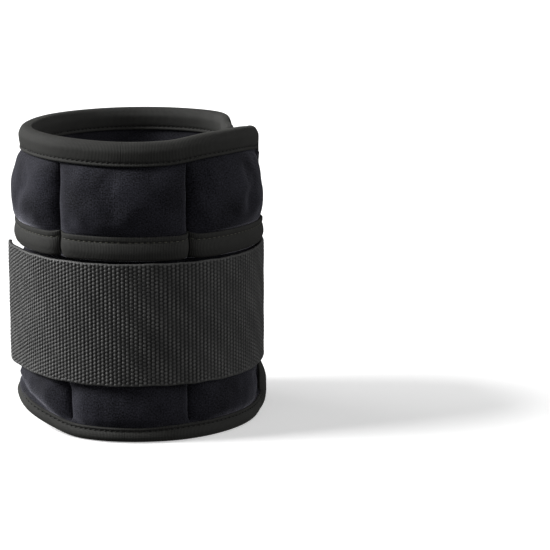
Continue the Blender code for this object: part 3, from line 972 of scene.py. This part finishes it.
def grains(along, up):
    """How high the weave stands: slanted grains in columns, every other column half a grain lower."""
    best = np.zeros(np.broadcast(along, up).shape)
    column = np.round(along / WEAVE_ACROSS)
    for near_column in (-1, 0, 1):
        c = column + near_column
        offset = 0.5 * WEAVE_UP * np.mod(c, 2)
        row = np.round((up - offset) / WEAVE_UP)
        for near_row in (-1, 0, 1):
            centre_up = (row + near_row) * WEAVE_UP + offset
            da = along - c * WEAVE_ACROSS
            du = up - centre_up
            turned_a = da * 0.91 + du * 0.42
            turned_u = du * 0.91 - da * 0.42
            inside = 1 - (turned_a / 0.71) ** 2 - (turned_u / 0.86) ** 2
            uneven = 0.72 + 0.28 * np.sin(12.9898 * c + 78.233 * (row + near_row)) ** 2
            best = np.maximum(best, np.sqrt(np.clip(inside, 0, 1)) * uneven)
    return best


def strap_base(azimuth):
    """The strap's outer face without its weave: it lies flatter over the closure, and its tip stands off."""
    root = 0.8 * float(step((azimuth - STRAP_LINES[0]) / 30.0))
    over_closure = 0.9 * float(step((-229.0 - azimuth) / 14.0) * step((azimuth + 266.0) / 14.0))
    tip = 2.3 * step((-430.0 - azimuth) / 20.0)
    tight = 1.1 * step((-250.0 - azimuth) / 12.0) * step((azimuth + 310.0) / 30.0)
    return STRAP_R - root - over_closure - tight + tip + 0.1 * ripple(azimuth, 0.0, 61, 2.0)


def strap_edges(azimuth):
    wave = 0.18 * float(ripple(azimuth, 0.0, 71, 3.0))
    return STRAP_BOTTOM + 1.2 + wave, STRAP_TOP + 1.2 + wave * 0.7


ROWS = 160


def strap_heights(azimuth):
    low, high = strap_edges(azimuth)
    return np.linspace(low, high, ROWS)


def strap_weave(azimuth):
    heights = strap_heights(azimuth)
    along = (STRAP_ROOT - azimuth) * STRAP_DEGREE
    rise = grains(np.full(ROWS, along), heights)
    edge = np.minimum(heights - heights[0], heights[-1] - heights)
    return rise * step(edge / SELVEDGE) + 0.75 * (1 - step(edge / SELVEDGE))


def strap_loop(azimuth):
    heights = strap_heights(azimuth)
    base = strap_base(azimuth)
    edge = np.minimum(heights - heights[0], heights[-1] - heights)
    rounding = 0.45 * (1 - np.clip(edge / 0.7, 0, 1)) ** 2
    outer = base - WEAVE_RISE * 0.8 + WEAVE_RISE * strap_weave(azimuth) - rounding
    inner_z = np.linspace(heights[-1] - 0.15, heights[0] + 0.15, 9)
    inner = np.full(9, base - WEBBING)
    return polar(azimuth, np.concatenate([outer, inner]), np.concatenate([heights, inner_z]))


STRAP_BENDS = [(7.0, 16.0), (16.0, 16.0), (7.0, 7.0), (7.0, 7.0), (4.5, 4.5)]   # before and after each line


def bend_strap(obj, body_a, body_b, line, before, after):
    along = -polar(line + 90, 1.0, 0.0)
    centre = polar(line, STRAP_R, 48.0)
    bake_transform(obj)


def band(name, first, last, low, high, radius, thick, material, body):
    """A thin tape sewn on: rounded edges, riding on one body."""
    def loop(azimuth):
        z = np.array([low, low, low + 0.5, low + 2.0, (low + high) / 2, high - 2.0, high - 0.5, high, high])
        r = radius - np.array([thick, 0.2, 0.02, 0, 0, 0, 0.02, 0.2, thick])
        return polar(azimuth, r, z)

    obj = sweep(name, np.linspace(first, last, 40), loop, material)
    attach(obj, body)
    return obj


def build_strap():
    cuts = [STRAP_ROOT, -251.5, -305.5, -368.5, -423.0, STRAP_END]
    chain = ["rear_right", "strap_1", "strap_2", "strap_3", "strap_4", "strap_tip"]
    nodes = ["strap_root", "strap_1", "strap_2", "strap_3", "strap_4", "strap_tip"]
    for index, line in enumerate(STRAP_LINES):
        first, last = cuts[index], cuts[index + 1]
        count = int(abs(last - first) * STRAP_DEGREE / 0.31)
        stations = np.linspace(first, last, count)
        obj = sweep(f"strap_{index + 1}_webbing", stations, strap_loop, webbing, STRAP_DEGREE)
        # Each point's grain height; the webbing's colour takes it as a painted highlight on the grain tops and painted
        # shade in the gaps.
        high = np.array([np.concatenate([strap_weave(s), np.full(9, 0.35)]) for s in stations])
        attribute = obj.data.attributes.new("weave", "FLOAT", "POINT")
        attribute.data.foreach_set("value", high.astype(np.float32).ravel())
        stood = nodes[index:index + 2] if index == len(STRAP_LINES) - 1 else [nodes[index]]
        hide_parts(*stood)
        bend_strap(obj, chain[index], chain[index + 1], line, *STRAP_BENDS[index])
    for name, body, first, last in (("hook_tape_front", "strap_3", -345.5, -392.5),
                                    ("hook_tape_left", "strap_4", -408.5, -440.0)):
        obj = band(f"{name}_tape", first, last, STRAP_BOTTOM + 3.5, STRAP_TOP - 3.5, 50.85, 0.5, hook_plastic,
                   body)
        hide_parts(name)
    for pocket in ("right", "front", "left"):
        middle = MIDDLES[pocket]
        obj = band(f"loop_tape_{pocket}", middle + 15.5, middle - 15.5, STRAP_BOTTOM + 4.5, STRAP_TOP - 5.5,
                   50.25, 0.6, loop_pile, pocket)
        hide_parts(f"{pocket}_loop_tape")

    def box_point(station):
        """Round a sewn square with a cross, on the strap's sewn end."""
        corners = [(-197.0, 27.0), (-221.0, 27.0), (-221.0, 69.0), (-197.0, 69.0), (-197.0, 27.0),
                   (-221.0, 69.0), (-221.0, 27.0), (-197.0, 69.0)]
        place = station
        for (a0, z0), (a1, z1) in zip(corners, corners[1:]):
            long = math.hypot((a1 - a0) * STRAP_DEGREE, z1 - z0)
            if place <= long:
                share = place / long
                azimuth, height = mix(a0, a1, share), mix(z0, z1, share)
                return polar(azimuth, strap_base(azimuth) + 0.02, height), polar(azimuth, 1.0, 0.0)
            place -= long
        return polar(-197.0, strap_base(-197.0), 69.0), polar(-197.0, 1.0, 0.0)

    total = 2 * 22.0 + 3 * 42.0 + 2 * 47.4
    box = dashes("strap_box_stitches", stitch_runs(0.0, total, box_point, 2.6, 1.9, 1.0), thread_olive, 0.26)
    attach(box, "rear_right")


# Weights, out of sight inside the pockets

SLEEVE_LEVELS = [(19.6, 43.3, 0.5), (20.6, 44.4, 1.6), (24, 46.9, 4.4), (46, 47.1, 4.6), (67, 46.9, 4.4),
                 (72, 45.4, 2.9), (86, 45.4, 2.9), (92, 48.1, 5.6), (98, 49.5, 7.0), (103, 47.8, 5.2),
                 (105.5, 45.0, 1.6), (106.6, 43.8, 0.5)]


def build_weights():
    levels = smooth_path([(z, front, deep) for z, front, deep in SLEEVE_LEVELS], 4)
    angles = np.linspace(0, 2 * math.pi, 36, endpoint=False)
    for pocket, middle in MIDDLES.items():
        def loop(station):
            z, front, deep = levels[int(round(np.clip(station, 0, len(levels) - 1)))]
            across = 15.0 * np.sign(np.cos(angles)) * np.abs(np.cos(angles)) ** 0.45
            depth = 0.5 * deep * np.sign(np.sin(angles)) * np.abs(np.sin(angles)) ** 0.7
            radius = front - 0.5 * deep + depth
            return polar(middle + np.degrees(across / 46.0), radius, z)

        obj = sweep(f"weight_sleeve_{pocket}", np.arange(len(levels)), loop, coated_nylon, 2.0)
        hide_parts(f"{pocket}_weight_sleeve")
        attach(obj, pocket)
        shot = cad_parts[f"{pocket}_weight_shot"]
        shot.data.materials.clear()
        shot.data.materials.append(shot_metal)


# Stage

def sun_light(name, towards, strength, softness):
    """A soft light from one side, the same all over the floor."""
    data = bpy.data.lights.new(name, "SUN")
    data.energy = strength
    data.angle = math.radians(softness)
    light = bpy.data.objects.new(name, data)
    light.rotation_euler = Vector(towards).to_track_quat("Z", "Y").to_euler()
    bpy.context.scene.collection.objects.link(light)


def build_stage():
    scene = bpy.context.scene
    floor_mesh = bpy.data.meshes.new("floor")
    s = 6.0
    floor_mesh.from_pydata([(-s, -s, 0), (s, -s, 0), (s, s, 0), (-s, s, 0)], [], [(0, 1, 2, 3)])
    floor_material = Nodes("floor")
    floor_material.shader.inputs["Base Color"].default_value = (0.93, 0.93, 0.93, 1)
    floor_material.shader.inputs["Emission Color"].default_value = (1, 1, 1, 1)
    floor_material.shader.inputs["Emission Strength"].default_value = 0.45
    floor_material.finish(0.8, specular=0.1)
    floor_mesh.materials.append(floor_material.material)
    floor = bpy.data.objects.new("floor", floor_mesh)
    scene.collection.objects.link(floor)
    floor.visible_diffuse = False
    floor.visible_glossy = False
    world = bpy.data.worlds.new("studio")
    world.use_nodes = True
    background = world.node_tree.nodes["Background"]
    background.inputs["Color"].default_value = (1, 1, 1, 1)
    background.inputs["Strength"].default_value = 0.09
    scene.world = world
    scene.view_settings.view_transform = "Standard"
    sun_light("key", (-0.78, -0.06, 0.62), 3.7, 22)
    sun_light("left_edge", (-0.85, 0.40, 0.25), 1.7, 40)
    sun_light("front_fill", (-0.25, -1.0, 0.45), 0.30, 60)
    sun_light("right_edge", (0.90, -0.20, 0.35), 0.85, 40)
    camera_data = bpy.data.cameras.new("camera")
    camera_data.sensor_width = 36.0
    camera_data.lens = 148.6
    camera_data.clip_end = 50
    camera = bpy.data.objects.new("camera", camera_data)
    camera.location = (0, -0.93, 0.261)
    tilt, pan = math.radians(12.3), math.radians(3.46)
    look = Vector((math.sin(pan) * math.cos(tilt), math.cos(pan) * math.cos(tilt), -math.sin(tilt)))
    camera.rotation_euler = look.to_track_quat("-Z", "Y").to_euler()
    scene.collection.objects.link(camera)
    scene.camera = camera


build_ring()
build_end()
build_tongue()
build_strap()
build_weights()
build_stage()
bpy.context.view_layer.update()
